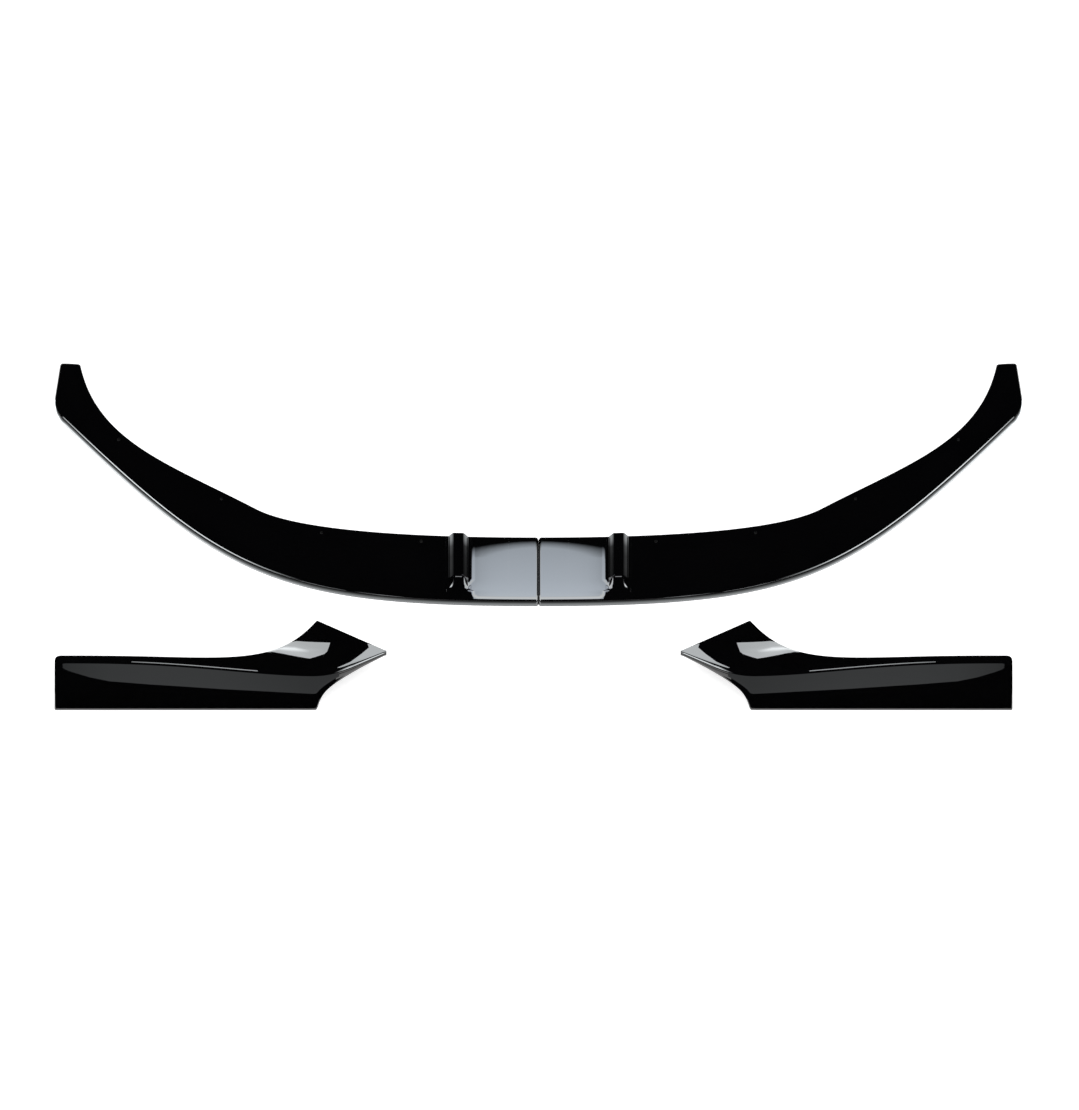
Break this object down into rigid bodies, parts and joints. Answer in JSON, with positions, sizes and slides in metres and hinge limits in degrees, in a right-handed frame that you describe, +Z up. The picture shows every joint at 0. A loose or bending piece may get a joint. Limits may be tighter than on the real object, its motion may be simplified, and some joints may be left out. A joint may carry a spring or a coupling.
{
  "type": "front splitter lip",
  "caption": "Gloss-black front splitter lip set: a split blade with short fins at its middle and curved arms, and loose winged corner pieces laid out in front of it.",
  "frame": {"origin": "middle of the laid-out set on the ground, below the centre of its box", "axes": "+X to the viewer's right along the lip, +Y from the leading edge back to the tips, +Z up from the ground"},
  "size_m": [1.7536, 0.7178, 0.1],
  "materials": {
    "gloss_black": "painted black under clear coat, mirror gloss"
  },
  "bodies": {
    "root": {"lip_left": "gloss_black", "lip_right": "gloss_black", "corner_left": "gloss_black", "corner_right": "gloss_black"}
  },
  "joints": []
}
